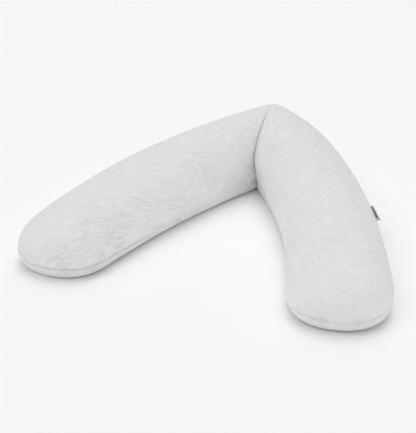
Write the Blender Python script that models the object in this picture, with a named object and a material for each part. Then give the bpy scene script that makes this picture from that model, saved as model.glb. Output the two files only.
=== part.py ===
"""Full-length pregnancy pillow lying on its back, folded at its middle into a V.

One filled cushion: a top and a bottom cloth panel, sewn together all round in one seam.
The two arms leave the fold in soft curves. The cloth creases deeply on the inside of the
bend and is drawn taut over a rounded corner on the outside. A blank folded tab is sewn
into the seam on the outer edge of the right arm.

Metres, +Z up. The floor is z = 0, the open side of the V faces -Y and the fold points to +Y.
The origin lies on the floor under the middle of the cushion's box.
"""
import math

import bmesh
import bpy
import numpy as np
from mathutils import Vector

# The arms, measured along the middle of each from the fold to its tip
ARM_LENGTH = 0.93
FOLD_HEADING = math.radians(50.4)   # each arm leaves the fold at this angle to -Y
SHOULDER_REACH = 0.15               # length over which an arm turns away from the fold

# One row for each arm: which side it lies on, how it bends, its half widths at fold, middle
# and end, its crown at the middle, its rounded tip, and how far in the tip leaves the floor
RIGHT = dict(side=1, bend=0.63, shoulder=math.radians(9.3), half_fold=0.146, half_mid=0.131,
             half_end=0.136, crown_mid=0.182, tip=0.146, tip_power=2.3, tip_lean=-0.065,
             tip_foot=0.027)
LEFT = dict(side=-1, bend=0.65, shoulder=math.radians(7.6), half_fold=0.127, half_mid=0.145,
            half_end=0.133, crown_mid=0.173, tip=0.152, tip_power=2.5, tip_lean=0.065,
            tip_foot=0.013)
HALF_FOLD_INNER = 0.127             # half width on the inside of the bend, at the fold
CROWN_FOLD = 0.214                  # the filling is squeezed up where the cushion is folded
CROWN_END = 0.140

# The section: widest at a share of the crown, drawn in below that to the seam
WIDEST = 0.42
WIDEST_END = 0.36
WIDEST_SINKS_AT = 0.4               # share of the arm from which the widest place sinks to that
TUCK_INNER = 0.38                   # radians that the cloth turns back under, down to the seam
TUCK_OUTER = 0.13
TUCK_END = 0.25
SEAM_INNER_FOLD = 0.034             # height of the seam along the inside of the bend
SEAM_INNER_MID = 0.020
SEAM_OUTER = 0.065                  # and along the outside, where the cloth is drawn taut
SEAM_END = 0.030
LIFT_ENDS_AT = 0.6                  # share of the arm over which the outer seam stays high
LOWER_BULGE = math.radians(22)      # the bottom panel swells out past upright, below the seam
FOOT = 0.030                        # the bottom panel leaves the floor this far in from its side
FOOT_WITH_SEAM = 0.5                # and further in by this share of what the seam rises
FLAT_SHARE = 0.72                   # share of the bottom panel's width that lies on the floor

# The fold: a deep crease inside the bend, a rounded corner outside it. Places across an arm
# run from -1 at the inner seam over 0 at the crown to 1 at the outer seam
CREASE_DEPTH = 0.016
CREASE_WIDTH = 0.020
CREASE_ENDS = 0.25                  # place across where the crease runs out, past the crown
CREASE_GROWS = 0.6                  # width across over which it grows to its full depth
CREASE_BELOW = 0.4                  # width across that it reaches in under the bottom
CORNER_RADIUS = 0.020
CORNER_SLOPE = 0.9
CORNER_STARTS = -0.1                # place across where the rounding of the corner starts
CORNER_GROWS = 0.7
BLEND_SHARE = 0.3                   # share of the arm over which both sides meet in one section

# The tab: one strip folded double, its ends in the seam
TAB_DISTANCE = 0.457                # along the right arm, from the fold to the tab's middle
TAB_LENGTH = 0.082
TAB_WIDTH = 0.020
TAB_THICKNESS = 0.0020
TAB_TILT = math.radians(12)
TAB_GAP = 0.0010                    # from the seam line, so that the tab clears the swell beside it
TAB_FOLD_STEPS = 6

# Rows and columns of the panels
ARM_ROWS = 24
TIP_ROWS = 10
COLUMNS = 27
ROW_SPACING = 1.5                   # above 1 the rows crowd towards the fold

SPINE = np.arange(-0.36, 1.2, 0.002)
FOLD_INDEX = int(np.argmin(np.abs(SPINE)))


def clear_scene():
    """Removes the objects of a new file."""
    for obj in list(bpy.data.objects):
        bpy.data.objects.remove(obj, do_unlink=True)


def ease(t):
    """Smooth step from 0 to 1."""
    t = np.clip(t, 0.0, 1.0)
    return t * t * (3 - 2 * t)


def through(s, at_fold, at_mid, at_end):
    """The quadratic in s, 0 at the fold and 1 at the tip's start, through three values."""
    return at_fold * (1 - s) * (1 - 2 * s) + 4 * at_mid * s * (1 - s) + at_end * s * (2 * s - 1)


def running_total(rate):
    """Integral of a rate along the spine, zero at the fold."""
    pieces = (rate[1:] + rate[:-1]) / 2 * np.diff(SPINE)
    total = np.concatenate([[0.0], np.cumsum(pieces)])
    return total - total[FOLD_INDEX]


def spine(arm):
    """Heading and place of an arm's middle line, as tables over SPINE."""
    turned = arm["bend"] * SPINE + arm["shoulder"] * np.tanh(SPINE / SHOULDER_REACH)
    heading = FOLD_HEADING - turned
    return heading, running_total(np.sin(heading)), -running_total(np.cos(heading))


def half_widths(arm, s, outer):
    """Half width at s, on the outer or the inner side of the bend."""
    at_fold = np.where(outer, arm["half_fold"], HALF_FOLD_INNER)
    return through(s, at_fold, arm["half_mid"], arm["half_end"])


def seam_place(s, outer):
    """Height of the seam and the tuck above it, at s."""
    to_end = ease((s - LIFT_ENDS_AT) / (1 - LIFT_ENDS_AT))
    inner_height = through(s, SEAM_INNER_FOLD, SEAM_INNER_MID, SEAM_END)
    outer_height = SEAM_OUTER + (SEAM_END - SEAM_OUTER) * to_end
    inner_tuck = TUCK_INNER + (TUCK_END - TUCK_INNER) * to_end
    outer_tuck = TUCK_OUTER + (TUCK_END - TUCK_OUTER) * to_end
    return np.where(outer, outer_height, inner_height), np.where(outer, outer_tuck, inner_tuck)


def top_profile(rho, crown, widest, seam, tuck):
    """Top panel from the crown, rho 0, to the seam, rho 1: share of the half width, height."""
    angle = rho * (math.pi / 2 + tuck)
    above = widest + (crown - widest) * np.cos(angle)
    below = widest + (widest - seam) / np.sin(tuck) * np.cos(angle)
    return np.sin(angle), np.where(np.cos(angle) >= 0, above, below)


def bottom_profile(rho, half, seam, tuck, foot):
    """Bottom panel from the middle, rho 0, to the seam, rho 1: share of the half width, height."""
    flat = 1 - (foot + FOOT_WITH_SEAM * np.maximum(seam - SEAM_END, 0.0)) / half
    radius = seam / (1 + math.sin(LOWER_BULGE))
    reach = (np.cos(tuck) - flat) / math.cos(LOWER_BULGE)
    turn = np.clip((rho - FLAT_SHARE) / (1 - FLAT_SHARE), 0, 1) * (math.pi / 2 + LOWER_BULGE)
    share = np.where(rho < FLAT_SHARE, rho / FLAT_SHARE * flat, flat + reach * np.sin(turn))
    return share, radius * (1 - np.cos(turn))


def section(arm, s, rho, outer, bottom, foot=FOOT):
    """Half width, share of it and height of one panel's cross section at s."""
    half = half_widths(arm, s, outer)
    crown = through(s, CROWN_FOLD, arm["crown_mid"], CROWN_END)
    sinking = ease((s - WIDEST_SINKS_AT) / (1 - WIDEST_SINKS_AT))
    widest = crown * (WIDEST + (WIDEST_END - WIDEST) * sinking)
    seam, tuck = seam_place(s, outer)
    if bottom:
        share, height = bottom_profile(rho, half, seam, tuck, foot)
    else:
        share, height = top_profile(rho, crown, widest, seam, tuck)
    return half, share, height


def place(arm, tables, along, across, height):
    """World points of places given along and across an arm."""
    heading, x_line, y_line = tables
    turn = np.interp(along, SPINE, heading)
    x = np.interp(along, SPINE, x_line) + across * np.cos(turn)
    y = np.interp(along, SPINE, y_line) + across * np.sin(turn)
    return np.stack([x * arm["side"], y, height], -1)


def mitre_start(tables, across):
    """Where a line this far across an arm begins on the fold's plane, x = 0."""
    heading, x_line, _ = tables
    return np.array([np.interp(0.0, x_line + n * np.cos(heading), SPINE) for n in across])


def arm_panel(arm, bottom):
    """One panel of one arm: rows from the fold to the tip, columns from inner to outer seam."""
    tables = spine(arm)
    v = np.linspace(-1, 1, COLUMNS)
    outer = v >= 0
    body = ARM_LENGTH - arm["tip"]
    half0, share0, _ = section(arm, 0.0, np.abs(v), outer, bottom)
    start = mitre_start(tables, half0 * share0 * np.sign(v))
    rows = []
    for s in np.linspace(0, 1, ARM_ROWS) ** ROW_SPACING:
        half, share, height = section(arm, s, np.abs(v), outer, bottom)
        rows.append(place(arm, tables, start + s * (body - start), half * share * np.sign(v), height))
    for t in np.linspace(0, 1, TIP_ROWS + 1)[1:]:
        forward = t * np.sqrt(1 - v * v / 2)
        sideways = v * np.sqrt(1 - t * t / 2)
        rho = np.minimum(np.hypot(forward, sideways), 1.0)
        angle = np.arctan2(sideways, forward)
        power = arm["tip_power"]
        swell = (np.abs(np.cos(angle)) ** power + np.abs(np.sin(angle)) ** power) ** (-1 / power)
        foot = FOOT + (arm["tip_foot"] - FOOT) * np.cos(angle) ** 2
        half, share, height = section(arm, 1.0, rho, outer, bottom, foot)
        across = half * share * swell * np.sin(angle)
        along = body + arm["tip"] * share * swell * np.cos(angle) + arm["tip_lean"] * across * t
        rows.append(place(arm, tables, along, across, height))
    return np.array(rows)


def meet_at_fold(right, left):
    """Gives both arms one common section on the fold's plane, blended into each arm."""
    common = (right[0] + left[0]) / 2
    common[:, 0] = 0.0
    s = np.linspace(0, 1, ARM_ROWS) ** ROW_SPACING
    weight = (1 - ease(s / BLEND_SHARE))[:, None, None]
    for grid in (right, left):
        grid[:ARM_ROWS] += (common - grid[0])[None] * weight


def round_corner(grid):
    """Rounds the outside of the bend: the distance from the fold becomes a hyperbola there."""
    v = np.linspace(-1, 1, COLUMNS)
    share = ease((v - CORNER_STARTS) / CORNER_GROWS)[None, :]
    distance = np.abs(grid[..., 0])
    grid[..., 1] -= share * CORNER_SLOPE * (np.hypot(distance, CORNER_RADIUS) - distance)


def press_crease(grid, bottom):
    """Draws the cloth in along the inside of the bend, from the seam to the crown."""
    v = np.linspace(-1, 1, COLUMNS)[None, :]
    near = np.exp(-(grid[..., 0] / CREASE_WIDTH) ** 2)
    if bottom:
        under = ease((CREASE_BELOW - 1 - v) / CREASE_BELOW)
        grid[..., 1] += CREASE_DEPTH * near * math.cos(TUCK_INNER) * under
        return
    depth = CREASE_DEPTH * near * ease((CREASE_ENDS - v) / CREASE_GROWS)
    angle = np.abs(v) * (math.pi / 2 + TUCK_INNER)
    grid[..., 1] += depth * np.sin(angle)
    grid[..., 2] -= depth * np.maximum(np.cos(angle), 0.0)


def cushion_grids():
    """The four panels' points, with the origin under the middle of their box."""
    grids = {}
    for bottom in (False, True):
        right = arm_panel(RIGHT, bottom)
        left = arm_panel(LEFT, bottom)
        meet_at_fold(right, left)
        for grid in (right, left):
            round_corner(grid)
            press_crease(grid, bottom)
        grids["right", bottom] = right
        grids["left", bottom] = left
    points = np.concatenate([grid.reshape(-1, 3) for grid in grids.values()])
    middle = (points.min(axis=0) + points.max(axis=0)) / 2
    middle[2] = 0.0
    for grid in grids.values():
        grid -= middle
    return grids, middle


def cloth_material(name, colour, roughness):
    """A plain matt cloth."""
    material = bpy.data.materials.new(name)
    material.use_nodes = True
    shader = material.node_tree.nodes["Principled BSDF"]
    shader.inputs["Base Color"].default_value = (*colour, 1.0)
    shader.inputs["Roughness"].default_value = roughness
    shader.inputs["Metallic"].default_value = 0.0
    return material


def add_object(name, bm, material):
    """Turns a bmesh into a smooth-shaded object."""
    mesh = bpy.data.meshes.new(name)
    bm.to_mesh(mesh)
    bm.free()
    mesh.materials.append(material)
    mesh.shade_smooth()
    obj = bpy.data.objects.new(name, mesh)
    bpy.context.scene.collection.objects.link(obj)
    return obj


def make_pillow(grids):
    """Sews the four panels into one closed body."""
    bm = bmesh.new()
    for (side, bottom), grid in grids.items():
        rows, columns = grid.shape[:2]
        verts = [[bm.verts.new(point) for point in row] for row in grid.tolist()]
        outward = (side == "right") != bottom
        for i in range(rows - 1):
            for j in range(columns - 1):
                loop = [verts[i][j], verts[i + 1][j], verts[i + 1][j + 1], verts[i][j + 1]]
                bm.faces.new(loop if outward else loop[::-1])
    bmesh.ops.remove_doubles(bm, verts=bm.verts, dist=1e-5)
    return add_object("pillow", bm, cloth_material("muslin", (0.86, 0.86, 0.85), 0.9))


def tab_frame(middle):
    """The tab's root on the seam, and its directions along the seam, outwards and up."""
    tables = spine(RIGHT)
    body = ARM_LENGTH - RIGHT["tip"]
    s = TAB_DISTANCE / body
    seam, tuck = seam_place(s, True)
    half = half_widths(RIGHT, s, True) * np.cos(tuck)
    ends = [place(RIGHT, tables, TAB_DISTANCE + step, half, seam) for step in (-0.01, 0.01)]
    root = Vector((ends[0] + ends[1]) / 2 - middle)
    along = Vector(ends[1] - ends[0]).normalized()
    level = along.cross(Vector((0, 0, -1))).normalized()
    outward = level * math.cos(TAB_TILT) + Vector((0, 0, math.sin(TAB_TILT)))
    return root, along, outward, outward.cross(along).normalized()


def make_label(middle):
    """The blank tab: a strip folded double, with a round fold at its outer edge."""
    root, along, outward, up = tab_frame(middle)
    radius = TAB_THICKNESS / 2
    outline = [(TAB_GAP, -radius), (TAB_GAP, radius)]
    for k in range(TAB_FOLD_STEPS + 1):
        angle = math.pi / 2 - math.pi * k / TAB_FOLD_STEPS
        outline.append((TAB_WIDTH - radius + radius * math.cos(angle), radius * math.sin(angle)))
    bm = bmesh.new()
    first = [bm.verts.new(root - along * TAB_LENGTH / 2 + outward * a + up * b) for a, b in outline]
    face = bm.faces.new(first)
    grown = bmesh.ops.extrude_face_region(bm, geom=[face])
    moved = [item for item in grown["geom"] if isinstance(item, bmesh.types.BMVert)]
    bmesh.ops.translate(bm, verts=moved, vec=along * TAB_LENGTH)
    bmesh.ops.recalc_face_normals(bm, faces=bm.faces)
    label = add_object("label", bm, cloth_material("tab", (0.50, 0.50, 0.46), 0.8))
    label.data.set_sharp_from_angle(angle=math.radians(40))
    return label


def main():
    clear_scene()
    grids, middle = cushion_grids()
    make_pillow(grids)
    make_label(middle)


main()
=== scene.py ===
"""Looks of the full-length pregnancy pillow: crinkled white muslin, folded into a V.

The cushion is one closed mesh of the same form as the frame's solid, with a fine top panel.
On it come the sharp fold, the seam's gathers, the slack of the filling and the crinkle of
the double gauze. Metres, +Z up, in the frame's coordinates.
"""
import math

import bpy
import numpy as np
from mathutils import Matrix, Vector


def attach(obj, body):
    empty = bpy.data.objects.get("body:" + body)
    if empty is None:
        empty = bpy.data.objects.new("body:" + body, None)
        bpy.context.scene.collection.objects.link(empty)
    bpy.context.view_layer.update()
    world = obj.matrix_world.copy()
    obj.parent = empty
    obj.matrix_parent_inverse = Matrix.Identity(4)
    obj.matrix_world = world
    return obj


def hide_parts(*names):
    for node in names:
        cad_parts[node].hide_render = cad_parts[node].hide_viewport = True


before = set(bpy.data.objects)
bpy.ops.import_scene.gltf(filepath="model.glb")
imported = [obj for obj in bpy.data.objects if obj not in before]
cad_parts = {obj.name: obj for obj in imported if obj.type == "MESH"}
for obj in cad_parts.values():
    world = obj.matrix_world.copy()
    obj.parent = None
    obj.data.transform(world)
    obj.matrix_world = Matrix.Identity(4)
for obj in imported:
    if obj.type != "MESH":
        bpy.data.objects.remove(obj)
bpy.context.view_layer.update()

# The cushion's form, as in the part's source
ARM_LENGTH = 0.93
FOLD_HEADING = math.radians(50.4)
SHOULDER_REACH = 0.15
RIGHT = dict(side=1, bend=0.63, shoulder=math.radians(9.3), half_fold=0.146, half_mid=0.131,
             half_end=0.136, crown_mid=0.182, tip=0.146, tip_power=2.3, tip_lean=-0.065,
             tip_foot=0.027)
LEFT = dict(side=-1, bend=0.65, shoulder=math.radians(7.6), half_fold=0.127, half_mid=0.145,
            half_end=0.133, crown_mid=0.173, tip=0.152, tip_power=2.5, tip_lean=0.065,
            tip_foot=0.013)
HALF_FOLD_INNER = 0.127             # half width on the inside of the bend, at the fold
CROWN_FOLD = 0.214                  # the filling is squeezed up where the cushion is folded
CROWN_END = 0.140

# The section: widest at a share of the crown, drawn in below that to the seam
WIDEST = 0.42
WIDEST_END = 0.36
WIDEST_SINKS_AT = 0.4               # share of the arm from which the widest place sinks to that
TUCK_INNER = 0.38                   # radians that the cloth turns back under, down to the seam
TUCK_OUTER = 0.13
TUCK_END = 0.25
SEAM_INNER_FOLD = 0.034             # height of the seam along the inside of the bend
SEAM_INNER_MID = 0.020
SEAM_OUTER = 0.065                  # and along the outside, where the cloth is drawn taut
SEAM_END = 0.030
LIFT_ENDS_AT = 0.6                  # share of the arm over which the outer seam stays high
LOWER_BULGE = math.radians(22)      # the bottom panel swells out past upright, below the seam
FOOT = 0.030                        # the bottom panel leaves the floor this far in from its side
FOOT_WITH_SEAM = 0.5                # and further in by this share of what the seam rises
FLAT_SHARE = 0.72                   # share of the bottom panel's width that lies on the floor

# The fold: a deep crease inside the bend, a rounded corner outside it. Places across an arm
# run from -1 at the inner seam over 0 at the crown to 1 at the outer seam
CREASE_WIDTH = 0.020
CREASE_ENDS = 0.25                  # place across where the crease runs out, past the crown
CREASE_GROWS = 0.6                  # width across over which it grows to its full depth
CREASE_BELOW = 0.4                  # width across that it reaches in under the bottom
CORNER_RADIUS = 0.020
CORNER_SLOPE = 0.9
CORNER_STARTS = -0.1                # place across where the rounding of the corner starts
CORNER_GROWS = 0.7
BLEND_SHARE = 0.3                   # share of the arm over which both sides meet in one section

# The tab: one strip folded double, its ends in the seam
TAB_DISTANCE = 0.457                # along the right arm, from the fold to the tab's middle
TAB_LENGTH = 0.082
TAB_WIDTH = 0.020
TAB_THICKNESS = 0.0020
TAB_TILT = math.radians(12)
TAB_GAP = 0.0010                    # from the seam line, so that the tab clears the swell beside it
TAB_FOLD_STEPS = 8

# Rows and columns of the fine top panel; both crowd towards the seam. The underside takes
# every fourth, and more of them where it curves up to the seam
BODY_ROWS = 204
TIP_ROWS = 60
COLUMNS = 161
ROW_SPACING = 1.25
NEAR_FOLD_ROWS = 60
HALF_CLOTH = 0.22                  # cloth from the crown down to the seam
TIP_CLOTH_SHARE = 1.35             # cloth over a tip, for each metre of the tip's length
TIP_RADIUS = 0.14

# The crease as the cloth shows it: each arm rolls into it, the right one over the left
ROLL = {1: 0.022, -1: 0.011}
ROLL_DEPTH = 0.024
CREASE_LEAN = 0.011                # how far the crease leans over to the left arm
LEAN_REACH = 0.07

SPINE = np.arange(-0.36, 1.2, 0.002)
FOLD_INDEX = int(np.argmin(np.abs(SPINE)))


def ease(t):
    """Smooth step from 0 to 1."""
    t = np.clip(t, 0.0, 1.0)
    return t * t * (3 - 2 * t)


def through(s, at_fold, at_mid, at_end):
    """The quadratic in s, 0 at the fold and 1 at the tip's start, through three values."""
    return at_fold * (1 - s) * (1 - 2 * s) + 4 * at_mid * s * (1 - s) + at_end * s * (2 * s - 1)


def running_total(rate):
    """Integral of a rate along the spine, zero at the fold."""
    pieces = (rate[1:] + rate[:-1]) / 2 * np.diff(SPINE)
    total = np.concatenate([[0.0], np.cumsum(pieces)])
    return total - total[FOLD_INDEX]


def spine(arm):
    """Heading and place of an arm's middle line, as tables over SPINE."""
    turned = arm["bend"] * SPINE + arm["shoulder"] * np.tanh(SPINE / SHOULDER_REACH)
    heading = FOLD_HEADING - turned
    return heading, running_total(np.sin(heading)), -running_total(np.cos(heading))


def half_widths(arm, s, outer):
    at_fold = np.where(outer, arm["half_fold"], HALF_FOLD_INNER)
    return through(s, at_fold, arm["half_mid"], arm["half_end"])


def seam_place(s, outer):
    """Height of the seam and the tuck above it, at s."""
    to_end = ease((s - LIFT_ENDS_AT) / (1 - LIFT_ENDS_AT))
    inner_height = through(s, SEAM_INNER_FOLD, SEAM_INNER_MID, SEAM_END)
    outer_height = SEAM_OUTER + (SEAM_END - SEAM_OUTER) * to_end
    inner_tuck = TUCK_INNER + (TUCK_END - TUCK_INNER) * to_end
    outer_tuck = TUCK_OUTER + (TUCK_END - TUCK_OUTER) * to_end
    return np.where(outer, outer_height, inner_height), np.where(outer, outer_tuck, inner_tuck)


def top_profile(rho, crown, widest, seam, tuck):
    angle = rho * (math.pi / 2 + tuck)
    above = widest + (crown - widest) * np.cos(angle)
    below = widest + (widest - seam) / np.sin(tuck) * np.cos(angle)
    return np.sin(angle), np.where(np.cos(angle) >= 0, above, below)


def bottom_profile(rho, half, seam, tuck, foot):
    """Bottom panel from the middle, rho 0, to the seam, rho 1: share of the half width, height."""
    flat = 1 - (foot + FOOT_WITH_SEAM * np.maximum(seam - SEAM_END, 0.0)) / half
    radius = seam / (1 + math.sin(LOWER_BULGE))
    reach = (np.cos(tuck) - flat) / math.cos(LOWER_BULGE)
    turn = np.clip((rho - FLAT_SHARE) / (1 - FLAT_SHARE), 0, 1) * (math.pi / 2 + LOWER_BULGE)
    share = np.where(rho < FLAT_SHARE, rho / FLAT_SHARE * flat, flat + reach * np.sin(turn))
    return share, radius * (1 - np.cos(turn))


def section(arm, s, rho, outer, bottom, foot=FOOT):
    """Half width, share of it and height of one panel's cross section at s."""
    half = half_widths(arm, s, outer)
    crown = through(s, CROWN_FOLD, arm["crown_mid"], CROWN_END)
    sinking = ease((s - WIDEST_SINKS_AT) / (1 - WIDEST_SINKS_AT))
    widest = crown * (WIDEST + (WIDEST_END - WIDEST) * sinking)
    seam, tuck = seam_place(s, outer)
    if bottom:
        share, height = bottom_profile(rho, half, seam, tuck, foot)
    else:
        share, height = top_profile(rho, crown, widest, seam, tuck)
    return half, share, height


def place(arm, tables, along, across, height):
    heading, x_line, y_line = tables
    turn = np.interp(along, SPINE, heading)
    x = np.interp(along, SPINE, x_line) + across * np.cos(turn)
    y = np.interp(along, SPINE, y_line) + across * np.sin(turn)
    return np.stack([x * arm["side"], y, height], -1)


def mitre_start(tables, across):
    heading, x_line, _ = tables
    return np.array([np.interp(0.0, x_line + n * np.cos(heading), SPINE) for n in across])


def row_shares():
    return np.linspace(0, 1, BODY_ROWS + 1) ** ROW_SPACING


def crowd(t):
    """Spaces even steps between -1 and 1 half as wide at the ends, where the seam is."""
    return t * (1.25 - 0.25 * t * t)


ACROSS = crowd(np.linspace(-1, 1, COLUMNS))


def coarse_rows():
    """Rows of the underside: more near the fold, and all where the tip curves up."""
    body = list(range(0, NEAR_FOLD_ROWS, 2)) + list(range(NEAR_FOLD_ROWS, BODY_ROWS, 4))
    curve = BODY_ROWS + TIP_ROWS * 3 // 5
    return body + list(range(BODY_ROWS, curve, 4)) + list(range(curve, BODY_ROWS + TIP_ROWS + 1))


def coarse_columns():
    middle = COLUMNS // 2
    flat = middle * 3 // 5
    inner = list(range(0, middle - flat, 2))
    outer = [COLUMNS - 1 - j for j in reversed([*inner, middle - flat])]
    return inner + list(range(middle - flat, middle + flat, 4)) + outer


def arm_panel(arm, bottom):
    """One panel of one arm, and its cloth chart: (along the cloth, across it, distance from
    the seam, place along the seam), all in metres."""
    tables = spine(arm)
    v = ACROSS
    outer = v >= 0
    body = ARM_LENGTH - arm["tip"]
    tip_cloth = arm["tip"] * TIP_CLOTH_SHARE
    seam_length = 2 * body + math.pi * TIP_RADIUS
    half0, share0, _ = section(arm, 0.0, np.abs(v), outer, bottom)
    start = mitre_start(tables, half0 * share0 * np.sign(v))
    rows = []
    chart = []
    for s in row_shares():
        half, share, height = section(arm, s, np.abs(v), outer, bottom)
        rows.append(place(arm, tables, start + s * (body - start), half * share * np.sign(v), height))
        u = np.full(COLUMNS, s * body)
        beside = np.where(outer, seam_length - u, u)
        chart.append(np.stack([u * arm["side"], v * HALF_CLOTH, (1 - np.abs(v)) * HALF_CLOTH, beside], -1))
    for t in crowd(np.linspace(0, 1, TIP_ROWS + 1))[1:]:
        forward = t * np.sqrt(1 - v * v / 2)
        sideways = v * np.sqrt(1 - t * t / 2)
        rho = np.minimum(np.hypot(forward, sideways), 1.0)
        angle = np.arctan2(sideways, forward)
        power = arm["tip_power"]
        swell = (np.abs(np.cos(angle)) ** power + np.abs(np.sin(angle)) ** power) ** (-1 / power)
        foot = FOOT + (arm["tip_foot"] - FOOT) * np.cos(angle) ** 2
        half, share, height = section(arm, 1.0, rho, outer, bottom, foot)
        across = half * share * swell * np.sin(angle)
        along = body + arm["tip"] * share * swell * np.cos(angle) + arm["tip_lean"] * across * t
        rows.append(place(arm, tables, along, across, height))
        u = (body + forward * tip_cloth) * arm["side"]
        beside = body + (angle + math.pi / 2) * TIP_RADIUS
        chart.append(np.stack([u, sideways * HALF_CLOTH, (1 - rho) * HALF_CLOTH, beside], -1))
    return np.array(rows), np.array(chart)


def meet_at_fold(right, left):
    common = (right[0] + left[0]) / 2
    common[:, 0] = 0.0
    weight = (1 - ease(row_shares() / BLEND_SHARE))[:, None, None]
    for grid in (right, left):
        grid[:BODY_ROWS + 1] += (common - grid[0])[None] * weight


def round_corner(grid):
    share = ease((ACROSS - CORNER_STARTS) / CORNER_GROWS)[None, :]
    distance = np.abs(grid[..., 0])
    grid[..., 1] -= share * CORNER_SLOPE * (np.hypot(distance, CORNER_RADIUS) - distance)


def press_crease(grid, side, bottom):
    """Rolls the cloth into the crease along the inside of the bend and leans it to the left."""
    v = ACROSS[None, :]
    distance = np.abs(grid[..., 0])
    into = np.clip(1 - distance / ROLL[side], 0, 1)
    near = 0.55 * (1 - np.sqrt(1 - into ** 2)) + 0.45 * np.exp(-(distance / CREASE_WIDTH) ** 2)
    lean = CREASE_LEAN * np.exp(-(distance / LEAN_REACH) ** 2)
    if bottom:
        under = ease((CREASE_BELOW - 1 - v) / CREASE_BELOW)
        grid[..., 1] += 0.5 * ROLL_DEPTH * near * math.cos(TUCK_INNER) * under
        return
    depth = ROLL_DEPTH * near * ease((CREASE_ENDS - v) / CREASE_GROWS) * (1 - 0.5 * ease(-2 * v - 1))
    angle = np.abs(v) * (math.pi / 2 + TUCK_INNER)
    grid[..., 1] += depth * np.sin(angle)
    grid[..., 2] -= depth * np.maximum(np.cos(angle), 0.0)
    grid[..., 0] -= lean * ease((v + 1) / 0.35) * ease((0.55 - v) / 0.4)


def panel_grids():
    """The four panels' points and charts, with the origin under the middle of their box."""
    grids, charts = {}, {}
    for bottom in (False, True):
        right, chart_right = arm_panel(RIGHT, bottom)
        left, chart_left = arm_panel(LEFT, bottom)
        meet_at_fold(right, left)
        for grid, side in ((right, 1), (left, -1)):
            round_corner(grid)
            press_crease(grid, side, bottom)
        grids["right", bottom], grids["left", bottom] = right, left
        charts["right", bottom], charts["left", bottom] = chart_right, chart_left
    points = np.concatenate([grid.reshape(-1, 3) for grid in grids.values()])
    middle = (points.min(axis=0) + points.max(axis=0)) / 2
    middle[2] = 0.0
    for grid in grids.values():
        grid -= middle
    return grids, charts, middle


class Sewing:
    """Collects the points of the panels and the faces between them."""

    def __init__(self):
        self.points, self.charts, self.faces = [], [], []
        self.kinds = []

    def add(self, grid, chart, kind, known=None):
        """Numbers a grid's points, keeping the numbers that are known already."""
        numbers = np.full(grid.shape[:2], -1) if known is None else known
        for i, j in zip(*np.nonzero(numbers < 0)):
            numbers[i, j] = len(self.points)
            self.points.append(grid[i, j])
            self.charts.append(chart[i, j])
            self.kinds.append(kind)
        return numbers

    def quads(self, numbers, outward):
        """Four-sided faces over the whole of a grid."""
        a, b = numbers[:-1, :-1], numbers[1:, :-1]
        c, d = numbers[1:, 1:], numbers[:-1, 1:]
        order = (a, b, c, d) if outward else (d, c, b, a)
        self.faces.extend(np.stack(order, -1).reshape(-1, 4).tolist())

    def coarse_faces(self, coarse, fine, rows, columns, outward):
        """Faces over a coarse grid, which take in the fine points along the seam."""
        for a in range(len(rows) - 1):
            for b in range(len(columns) - 1):
                loop = [coarse[a, b]]
                if b == 0:
                    loop += list(fine[rows[a] + 1:rows[a + 1], 0])
                loop.append(coarse[a + 1, b])
                if a == len(rows) - 2:
                    loop += list(fine[-1, columns[b] + 1:columns[b + 1]])
                loop.append(coarse[a + 1, b + 1])
                if b == len(columns) - 2:
                    loop += list(fine[rows[a] + 1:rows[a + 1], -1][::-1])
                loop.append(coarse[a, b + 1])
                self.faces.append([int(n) for n in (loop if outward else loop[::-1])])


def sew(grids, charts):
    """One closed net of points and faces from the four panels."""
    net = Sewing()
    rows, columns = coarse_rows(), coarse_columns()
    pick = np.ix_(rows, columns)
    fine = {}
    fine["right"] = net.add(grids["right", False], charts["right", False], 0)
    known = np.full(fine["right"].shape, -1)
    known[0] = fine["right"][0]
    fine["left"] = net.add(grids["left", False], charts["left", False], 1, known)
    fold_row = None
    for side, kind in (("right", 2), ("left", 3)):
        known = np.full((len(rows), len(columns)), -1)
        top = fine[side][pick]
        known[:, 0], known[:, -1], known[-1] = top[:, 0], top[:, -1], top[-1]
        if fold_row is not None:
            known[0] = fold_row
        coarse = net.add(grids[side, True][pick], charts[side, True][pick], kind, known)
        fold_row = coarse[0]
        net.quads(fine[side], side == "right")
        net.coarse_faces(coarse, fine[side], rows, columns, side != "right")
    return np.array(net.points), np.array(net.charts), np.array(net.kinds), net.faces


def gradient_noise(x, y, seed):
    """Smooth noise between about -1 and 1 with one cell to the unit, the same for one seed."""
    rng = np.random.RandomState(seed)
    table = rng.permutation(256)
    angles = rng.uniform(0, 2 * math.pi, 256)
    xi, yi = np.floor(x).astype(int), np.floor(y).astype(int)
    xf, yf = x - xi, y - yi

    def corner(dx, dy):
        turn = angles[table[(table[(xi + dx) & 255] + yi + dy) & 255]]
        return np.cos(turn) * (xf - dx) + np.sin(turn) * (yf - dy)

    fade_x = xf ** 3 * (xf * (xf * 6 - 15) + 10)
    fade_y = yf ** 3 * (yf * (yf * 6 - 15) + 10)
    low = corner(0, 0) + fade_x * (corner(1, 0) - corner(0, 0))
    high = corner(0, 1) + fade_x * (corner(1, 1) - corner(0, 1))
    return 1.6 * (low + fade_y * (high - low))


MUSLIN = (0.855, 0.855, 0.855)
TAPE = (0.52, 0.53, 0.48)
TAPE_BAND = (0.20, 0.20, 0.17)
TAPE_RIB = 0.0012
TAPE_THICKNESS = 0.0005

# The crinkle: two families of fine valleys. Each has a run, along which a valley keeps its
# depth, and a pitch, from valley to valley
CRINKLE_PITCH = 0.0125
CRINKLE_RUN = 0.075
CRINKLE_HEIGHT = 0.00028
CRINKLE_SWAY = 0.002                # the valleys wander this far
SWAY_LENGTH = 0.08                  # over this length of cloth
PATCH_LENGTH = 0.10                 # the crinkle is stronger and fainter in patches this long
RIDGE_SPREAD = 0.35                 # share of the noise's height over which a ridge rises

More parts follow.
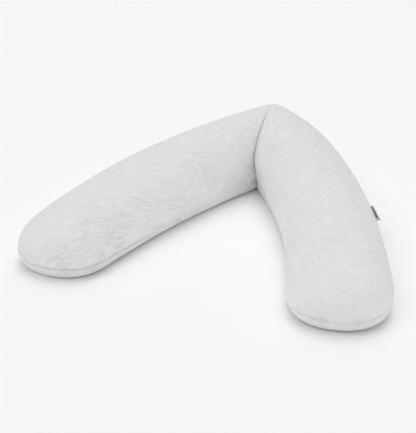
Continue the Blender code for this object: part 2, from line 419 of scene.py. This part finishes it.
# Directions of the families on the flat cloth, as shares along the arm and across it
LEFT_MAIN_RUN = (0.70, -0.70)
LEFT_MAIN_CROSS = (0.70, 0.72)
LEFT_WEAK_RUN = (0.46, 0.89)
LEFT_BOW = 2.3                      # how strongly the left arm's lines bow, per metre
RIGHT_WEAK_RUN = (0.91, 0.42)
RIGHT_ALONG = 0.9
RIGHT_SLANT = 0.4
TIP_SLANT = 0.2                     # slant that the right arm's lines gain towards the tip
RIGHT_BOW = 3.65                    # and the bow that they lose there
STRAIGHTENS = (0.3, 0.3)            # where along the arm that starts, and over what length
CHECK_STARTS = (0.42, 0.25)         # the same for the crossed pattern of the right tip


def crinkle_places(chart, kinds):
    """Run and cross places of the main and the weaker family, and the strengths of both.

    On the left arm the main family slants back along the arm, on the right arm it bows
    across it, and towards the right tip both families are alike, as in a woven check.
    """
    u, w = chart[:, 0], chart[:, 1]
    right = kinds % 2 == 0
    bowed = w + LEFT_BOW * w * np.abs(w)
    main_run = np.where(right, w, LEFT_MAIN_RUN[0] * u + LEFT_MAIN_RUN[1] * bowed)
    straight = ease((u - STRAIGHTENS[0]) / STRAIGHTENS[1])
    slant = RIGHT_SLANT + TIP_SLANT * straight
    across_arm = RIGHT_ALONG * u + slant * w + RIGHT_BOW * (1 - straight) * w * w
    main_cross = np.where(right, across_arm, LEFT_MAIN_CROSS[0] * u + LEFT_MAIN_CROSS[1] * bowed)
    weak_run = np.where(right, RIGHT_WEAK_RUN[0] * u + RIGHT_WEAK_RUN[1] * w,
                        LEFT_WEAK_RUN[0] * u + LEFT_WEAK_RUN[1] * w)
    weak_cross = np.where(right, RIGHT_WEAK_RUN[0] * w - RIGHT_WEAK_RUN[1] * u,
                          LEFT_WEAK_RUN[1] * u - LEFT_WEAK_RUN[0] * w)
    to_tip = ease((u - CHECK_STARTS[0]) / CHECK_STARTS[1])
    front = ease((0.10 - w) / 0.18)
    main_share = np.where(right, 0.75 - 0.15 * to_tip, 0.30 + 0.70 * front)
    weak_share = np.where(right, 0.15 + 0.50 * to_tip, 0.25)
    return (main_run, main_cross, main_share), (weak_run, weak_cross, weak_share)


def crinkle(chart, kinds):
    """Height of the gauze's puffed ridges and the narrow valleys between them."""
    u, w = chart[:, 0], chart[:, 1]
    total = 0.0
    for (run, cross, share), seed in zip(crinkle_places(chart, kinds), (21, 31)):
        sway = CRINKLE_SWAY * gradient_noise(u / SWAY_LENGTH, w / SWAY_LENGTH, seed + 2)
        ridges = gradient_noise(run / CRINKLE_RUN, (cross + sway) / CRINKLE_PITCH, seed)
        field = gradient_noise(u / PATCH_LENGTH, w / PATCH_LENGTH, seed + 1)
        patch = np.clip(0.7 + 0.6 * field, 0.1, 1.3)
        total = total + share * patch * (1 - np.exp(-(ridges / RIDGE_SPREAD) ** 2))
    return CRINKLE_HEIGHT * total


# The soft hills and hollows of the filling: height, length along the arm, width, seed
HILLS = [
    (0.0013, 0.13, 0.11, 41),
    (0.0005, 0.05, 0.045, 42),
]


def slack(chart):
    """Height of the soft hills and hollows of the filling."""
    u, w = chart[:, 0], chart[:, 1]
    return sum(height * gradient_noise(u / along, w / across, seed)
               for height, along, across, seed in HILLS)


# Puckers at the tips: side, degrees round the tip from its inner side, width, reach, depth
PUCKERS = [
    (1, 56, 0.016, 0.026, 0.0060),
    (1, 74, 0.020, 0.030, 0.0070),
    (1, 112, 0.012, 0.024, 0.0045),
    (-1, 112, 0.006, 0.026, 0.0055),
    (-1, 126, 0.008, 0.032, 0.0075),
    (-1, 141, 0.007, 0.026, 0.0065),
    (-1, 156, 0.007, 0.022, 0.0045),
]
SEAM_GROOVE = 0.0045
SEAM_GROOVE_WIDTH = 0.004
RIGHT_GROOVE_SHARE = 0.3            # the right tip's seam lies shallower
INNER_GROOVE_SHARE = 0.7            # and the one in the inner corner too
GROOVE_STARTS = (0.55, 0.12)        # where along the arm the groove starts, and over what length
SEAM_LIP = 0.0025                   # the top panel swells over the seam
LIP_AT = (0.014, 0.008)             # how far above the seam, and how wide
GATHER_WIDE = (0.018, 0.10, 0.030)  # a gather's width, its length, and how far up it fades
GATHER_NARROW = (0.009, 0.05, 0.012)
GATHER_HEIGHT = 0.0012
TIP_GATHER = 0.0016                 # more of it round the tips
FOLD_GATHER = 0.0026                # and inside the fold


def gathers(chart, kinds):
    """Height of the seam's groove and of the puckers that run up from it."""
    u, seam_distance, beside = chart[:, 0], chart[:, 2], chart[:, 3]
    seed = np.where(kinds % 2 == 0, 0.0, 37.0)
    wide = gradient_noise(beside / GATHER_WIDE[0] + seed, seam_distance / GATHER_WIDE[1], 51)
    narrow = gradient_noise(beside / GATHER_NARROW[0] + seed, seam_distance / GATHER_NARROW[1], 52)
    round_tip = ease((np.abs(u) - 0.62) / 0.18)
    inside_fold = np.exp(-np.abs(u) / 0.12) * (beside < 0.6)
    strength = GATHER_HEIGHT + TIP_GATHER * round_tip + FOLD_GATHER * inside_fold
    lift = strength * wide * np.exp(-seam_distance / GATHER_WIDE[2])
    lift += np.where(u > 0, 0.2, 0.5) * strength * narrow * np.exp(-seam_distance / GATHER_NARROW[2])
    drawn = ease((np.abs(u) - GROOVE_STARTS[0]) / GROOVE_STARTS[1])
    drawn = drawn * np.where(u > 0, RIGHT_GROOVE_SHARE, 1.0)
    drawn = drawn + INNER_GROOVE_SHARE * np.exp(-(u / 0.03) ** 2)
    lift -= SEAM_GROOVE * drawn * np.exp(-(seam_distance / SEAM_GROOVE_WIDTH) ** 2)
    lip = np.where(kinds < 2, SEAM_LIP, 0.0)
    lift += lip * drawn * np.exp(-((seam_distance - LIP_AT[0]) / LIP_AT[1]) ** 2)
    for side, degrees, width, reach, depth in PUCKERS:
        body = ARM_LENGTH - (RIGHT if side > 0 else LEFT)["tip"]
        middle = body + math.radians(degrees) * TIP_RADIUS
        shape = np.exp(-((beside - middle) / width) ** 2) * np.exp(-(seam_distance / reach) ** 2)
        lift -= np.where(u * side > 0.6, depth, 0.0) * shape
    return lift


def make_mesh(name, points, faces):
    mesh = bpy.data.meshes.new(name)
    mesh.from_pydata(points.tolist(), [], faces)
    mesh.update()
    obj = bpy.data.objects.new(name, mesh)
    bpy.context.scene.collection.objects.link(obj)
    return obj


def vertex_normals(mesh):
    normals = np.zeros(len(mesh.vertices) * 3, dtype=np.float32)
    mesh.vertex_normals.foreach_get("vector", normals)
    return normals.reshape(-1, 3).astype(float)


def set_points(mesh, points):
    mesh.vertices.foreach_set("co", points.astype(np.float32).ravel())
    mesh.update()


def add_chart(mesh, name, places):
    """A UV layer in metres: where each point lies on its flat cloth."""
    uv = mesh.uv_layers.new(name=name)
    corner = np.zeros(len(mesh.loops), dtype=np.int32)
    mesh.loops.foreach_get("vertex_index", corner)
    uv.data.foreach_set("uv", places[corner].astype(np.float32).ravel())


FLOOR_EASE = 0.008                  # the relief fades out over this height above the floor


def make_pillow():
    grids, charts, middle = panel_grids()
    points, chart, kinds, faces = sew(grids, charts)
    pillow = make_mesh("pillow_muslin", points, faces)
    mesh = pillow.data
    normals = vertex_normals(mesh)
    top = kinds < 2
    lift = np.where(top, slack(chart) + crinkle(chart, kinds), 0.0)
    lift = lift + gathers(chart, kinds) * np.where(top, 1.0, 0.5)
    near_floor = ease(points[:, 2] / FLOOR_EASE)
    points = points + normals * (lift * near_floor)[:, None]
    points[:, 2] = np.maximum(points[:, 2], 0.0)
    set_points(mesh, points)
    mesh.shade_smooth()
    add_chart(mesh, "cloth", chart[:, :2])
    main, weak = crinkle_places(chart, kinds)
    add_chart(mesh, "main_crinkle", np.stack(main[:2], -1))
    add_chart(mesh, "weak_crinkle", np.stack(weak[:2], -1))
    add_chart(mesh, "crinkle_shares", np.stack([main[2], weak[2]], -1))
    return pillow, middle


def new_material(name, colour, roughness):
    material = bpy.data.materials.new(name)
    material.use_nodes = True
    shader = material.node_tree.nodes["Principled BSDF"]
    shader.inputs["Base Color"].default_value = (*colour, 1.0)
    shader.inputs["Roughness"].default_value = roughness
    return material, material.node_tree.nodes, material.node_tree.links, shader


def math_node(nodes, links, operation, first, second=None):
    """A Math node; its inputs are sockets or numbers."""
    node = nodes.new("ShaderNodeMath")
    node.operation = operation
    for slot, value in enumerate((first, second)):
        if value is None:
            continue
        if isinstance(value, (int, float)):
            node.inputs[slot].default_value = value
        else:
            links.new(value, node.inputs[slot])
    return node.outputs[0]


def noise_node(nodes, links, vector, scale, detail=1.0):
    node = nodes.new("ShaderNodeTexNoise")
    node.noise_dimensions = "2D"
    node.inputs["Scale"].default_value = scale
    node.inputs["Detail"].default_value = detail
    links.new(vector, node.inputs["Vector"])
    return node.outputs["Fac"]


def range_node(nodes, links, value, low, high, to_low=0.0, to_high=1.0):
    """A smooth step of a value from one range to another."""
    node = nodes.new("ShaderNodeMapRange")
    node.interpolation_type = "SMOOTHSTEP"
    links.new(value, node.inputs["Value"])
    node.inputs["From Min"].default_value = low
    node.inputs["From Max"].default_value = high
    node.inputs["To Min"].default_value = to_low
    node.inputs["To Max"].default_value = to_high
    return node.outputs["Result"]


def chart_node(nodes, name):
    node = nodes.new("ShaderNodeUVMap")
    node.uv_map = name
    return node.outputs["UV"]


def vector_node(nodes, links, operation, vector, other):
    node = nodes.new("ShaderNodeVectorMath")
    node.operation = operation
    links.new(vector, node.inputs[0])
    node.inputs[1].default_value = other
    return node.outputs["Vector"]


GAUZE_RUN = 0.085
GAUZE_PITCH = 0.0125
GAUZE_RELIEF = 0.0010
VALLEY = 0.10                      # share of the noise's height that a valley takes
THREAD_PITCH = 0.0014
THREAD_RELIEF = 0.00003


def gauze_relief(nodes, links, cloth):
    """Height of the narrow valleys of the crinkled gauze, 0 to about 1.5, in both families."""
    shares = nodes.new("ShaderNodeSeparateXYZ")
    links.new(chart_node(nodes, "crinkle_shares"), shares.inputs[0])
    total = None
    for name, axis, offset in (("main_crinkle", "X", 0.0), ("weak_crinkle", "Y", 7.3)):
        pitches = (1 / GAUZE_RUN, 1 / GAUZE_PITCH, 1.0)
        counted = vector_node(nodes, links, "MULTIPLY", chart_node(nodes, name), pitches)
        moved = vector_node(nodes, links, "ADD", counted, (offset, offset, 0.0))
        field = noise_node(nodes, links, moved, 1.0)
        centred = math_node(nodes, links, "SUBTRACT", field, 0.5)
        off_middle = math_node(nodes, links, "ABSOLUTE", centred)
        puffed = range_node(nodes, links, off_middle, 0.0, VALLEY)
        shifted = vector_node(nodes, links, "ADD", cloth, (offset, offset, 0.0))
        patch = range_node(nodes, links, noise_node(nodes, links, shifted, 9.0), 0.34, 0.62, 0.35, 1.0)
        patchy = math_node(nodes, links, "MULTIPLY", puffed, patch)
        layer = math_node(nodes, links, "MULTIPLY", patchy, shares.outputs[axis])
        total = layer if total is None else math_node(nodes, links, "ADD", total, layer)
    return total


def thread_relief(nodes, links, cloth):
    """Height of the plain weave's threads, -1 to 1."""
    split = nodes.new("ShaderNodeSeparateXYZ")
    links.new(cloth, split.inputs[0])
    waves = [math_node(nodes, links, "SINE",
                       math_node(nodes, links, "MULTIPLY", split.outputs[axis], 2 * math.pi / THREAD_PITCH))
             for axis in ("X", "Y")]
    return math_node(nodes, links, "MULTIPLY", waves[0], waves[1])


def muslin_material():
    """White double gauze: crinkle and weave as relief, and a faint painted shade in its valleys, where the
    base colour is darker.
    """
    material, nodes, links, shader = new_material("muslin", MUSLIN, 0.95)
    shader.inputs["Specular IOR Level"].default_value = 0.12
    shader.inputs["Sheen Weight"].default_value = 0.08
    cloth = chart_node(nodes, "cloth")
    relief = gauze_relief(nodes, links, cloth)
    crinkled = math_node(nodes, links, "MULTIPLY", relief, GAUZE_RELIEF)
    woven = math_node(nodes, links, "MULTIPLY", thread_relief(nodes, links, cloth), THREAD_RELIEF)
    height = math_node(nodes, links, "ADD", crinkled, woven)
    bump = nodes.new("ShaderNodeBump")
    bump.inputs["Strength"].default_value = 1.0
    bump.inputs["Distance"].default_value = 1.0
    links.new(height, bump.inputs["Height"])
    links.new(bump.outputs["Normal"], shader.inputs["Normal"])
    # Painted shade: the base colour is 5% darker in the crinkle's valleys, where the relief is low
    shade = nodes.new("ShaderNodeMix")
    shade.data_type = "RGBA"
    shade.inputs["A"].default_value = (*[value * 0.95 for value in MUSLIN], 1.0)
    shade.inputs["B"].default_value = (*MUSLIN, 1.0)
    links.new(range_node(nodes, links, relief, 0.0, 0.6), shade.inputs["Factor"])
    links.new(shade.outputs["Result"], shader.inputs["Base Color"])
    return material


def tab_material():
    """Grey-beige tape, woven across, with a plain darker band along its folded edge."""
    material, nodes, links, shader = new_material("tab_tape", TAPE, 0.85)
    shader.inputs["Specular IOR Level"].default_value = 0.2
    split = nodes.new("ShaderNodeSeparateXYZ")
    links.new(chart_node(nodes, "tape"), split.inputs[0])
    ends = math_node(nodes, links, "MULTIPLY",
                     range_node(nodes, links, split.outputs["X"], 0.005, 0.009),
                     range_node(nodes, links, split.outputs["X"], 0.068, 0.072, 1.0, 0.0))
    band = math_node(nodes, links, "MULTIPLY",
                     range_node(nodes, links, split.outputs["Y"], 0.0085, 0.0105),
                     range_node(nodes, links, split.outputs["Y"], 0.0165, 0.0180, 1.0, 0.0))
    colour = nodes.new("ShaderNodeMix")
    colour.data_type = "RGBA"
    colour.inputs["A"].default_value = (*TAPE, 1.0)
    colour.inputs["B"].default_value = (*TAPE_BAND, 1.0)
    links.new(math_node(nodes, links, "MULTIPLY", ends, band), colour.inputs["Factor"])
    links.new(colour.outputs["Result"], shader.inputs["Base Color"])
    ribs = math_node(nodes, links, "SINE",
                     math_node(nodes, links, "MULTIPLY", split.outputs["X"], 2 * math.pi / TAPE_RIB))
    bump = nodes.new("ShaderNodeBump")
    bump.inputs["Distance"].default_value = 0.00008
    links.new(ribs, bump.inputs["Height"])
    links.new(bump.outputs["Normal"], shader.inputs["Normal"])
    return material


def tab_frame(middle):
    """The tab's root on the seam, and its directions along the seam, outwards and up."""
    tables = spine(RIGHT)
    body = ARM_LENGTH - RIGHT["tip"]
    seam, tuck = seam_place(TAB_DISTANCE / body, True)
    half = half_widths(RIGHT, TAB_DISTANCE / body, True) * np.cos(tuck)
    ends = [place(RIGHT, tables, TAB_DISTANCE + step, half, seam) for step in (-0.01, 0.01)]
    root = Vector((ends[0] + ends[1]) / 2 - middle)
    along = Vector(ends[1] - ends[0]).normalized()
    level = along.cross(Vector((0, 0, -1))).normalized()
    outward = level * math.cos(TAB_TILT) + Vector((0, 0, math.sin(TAB_TILT)))
    return root, along, outward, outward.cross(along).normalized()


TAB_STEPS = 28
TAB_SWAY = 0.0008                   # the free edge is slightly wavy


def make_tab(middle):
    """The folded tab: one tape, out and back, with a soft round fold."""
    root, along, outward, up = tab_frame(middle)
    radius = TAB_THICKNESS / 2 - TAPE_THICKNESS / 2
    straight = np.linspace(TAB_GAP, TAB_WIDTH - radius, 12)
    profile = [(a, radius) for a in straight]
    profile += [(TAB_WIDTH - radius + radius * math.cos(q), radius * math.sin(q))
                for q in np.linspace(math.pi / 2, -math.pi / 2, TAB_FOLD_STEPS + 1)[1:-1]]
    profile += [(a, -radius) for a in straight[::-1]]
    points, faces, chart = [], [], []
    steps = TAB_STEPS
    for k in range(steps + 1):
        share = k / steps - 0.5
        for a, b in profile:
            sway = TAB_SWAY * math.sin(share * 7) * (a / TAB_WIDTH) ** 2
            points.append(root + along * share * TAB_LENGTH + outward * a + up * (b + sway))
            chart.append(((share + 0.5) * TAB_LENGTH, a))
    n = len(profile)
    for k in range(steps):
        for j in range(n - 1):
            faces.append([k * n + j, (k + 1) * n + j, (k + 1) * n + j + 1, k * n + j + 1])
    tab = make_mesh("side_tab", np.array(points), faces)
    add_chart(tab.data, "tape", np.array(chart))
    solid = tab.modifiers.new("thickness", "SOLIDIFY")
    solid.thickness = TAPE_THICKNESS
    solid.offset = 0.0
    tab.data.shade_smooth()
    return tab


def make_floor():
    size = 8.0
    corners = np.array([(-size, -size, 0), (size, -size, 0), (size, size, 0), (-size, size, 0)])
    floor = make_mesh("floor", corners, [[0, 1, 2, 3]])
    material, nodes, links, shader = new_material("floor_white", (0.93, 0.93, 0.93), 1.0)
    shader.inputs["Specular IOR Level"].default_value = 0.0
    floor.data.materials.append(material)
    return floor


DOME = 0.48                         # strength of the even light from all round
# What each broad light falls on, its azimuth and elevation, its width in degrees, its strength
LIGHTS = [
    ("floor", 180, 50, 35, 0.28),
    ("floor", 180, 75, 35, 0.80),
    ("floor", 220, 50, 35, 0.20),
    ("floor", 300, 55, 35, 0.44),
    ("floor", 90, 55, 35, 0.13),
    ("pillow", 10, 35, 60, 0.43),
    ("pillow", 110, 50, 60, 0.58),
    ("pillow", 200, 60, 60, 0.10),
    ("pillow", 270, 45, 60, 0.71),
]


def direction(azimuth, elevation):
    """Unit vector from the pillow towards a light or the camera."""
    level = math.cos(elevation)
    return Vector((math.sin(azimuth) * level, -math.cos(azimuth) * level, math.sin(elevation)))


def make_light(receivers):
    """An even dome, and broad lights that fall on the floor or on the pillow only."""
    world = bpy.data.worlds.new("studio")
    bpy.context.scene.world = world
    world.use_nodes = True
    background = world.node_tree.nodes["Background"]
    background.inputs["Color"].default_value = (1, 1, 1, 1)
    background.inputs["Strength"].default_value = DOME
    groups = {}
    for name, objects in receivers.items():
        groups[name] = bpy.data.collections.new("lit_" + name)
        for obj in objects:
            groups[name].objects.link(obj)
    for number, (target, azimuth, elevation, width, strength) in enumerate(LIGHTS):
        name = f"{target}_light_{number}"
        light = bpy.data.lights.new(name, "SUN")
        light.energy = strength
        light.angle = math.radians(width)
        lamp = bpy.data.objects.new(name, light)
        bpy.context.scene.collection.objects.link(lamp)
        back = direction(math.radians(azimuth), math.radians(elevation))
        lamp.rotation_euler = back.to_track_quat("Z", "Y").to_euler()
        lamp.light_linking.receiver_collection = groups[target]


CAMERA_AZIMUTH = math.radians(18.3)
CAMERA_ELEVATION = math.radians(29.3)
CAMERA_DISTANCE = 2.631
CAMERA_TARGET = Vector((-0.0405, -0.1627, 0.08))
FOCAL_PIXELS = 941.3
IMAGE_HEIGHT = 433


def make_camera():
    camera = bpy.data.objects.new("camera", bpy.data.cameras.new("camera"))
    bpy.context.scene.collection.objects.link(camera)
    camera.data.sensor_width = 36.0
    camera.data.lens = FOCAL_PIXELS * 36.0 / IMAGE_HEIGHT
    back = direction(CAMERA_AZIMUTH, CAMERA_ELEVATION)
    camera.location = CAMERA_TARGET + back * CAMERA_DISTANCE
    camera.rotation_euler = back.to_track_quat("Z", "Y").to_euler()
    bpy.context.scene.camera = camera


pillow, middle = make_pillow()
pillow.data.materials.append(muslin_material())
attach(pillow, "root")
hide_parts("pillow")

tab = make_tab(middle)
tab.data.materials.append(tab_material())
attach(tab, "root")
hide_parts("label")

floor = make_floor()
make_light({"floor": [floor], "pillow": [pillow, tab]})
make_camera()
bpy.context.scene.view_settings.view_transform = "Standard"
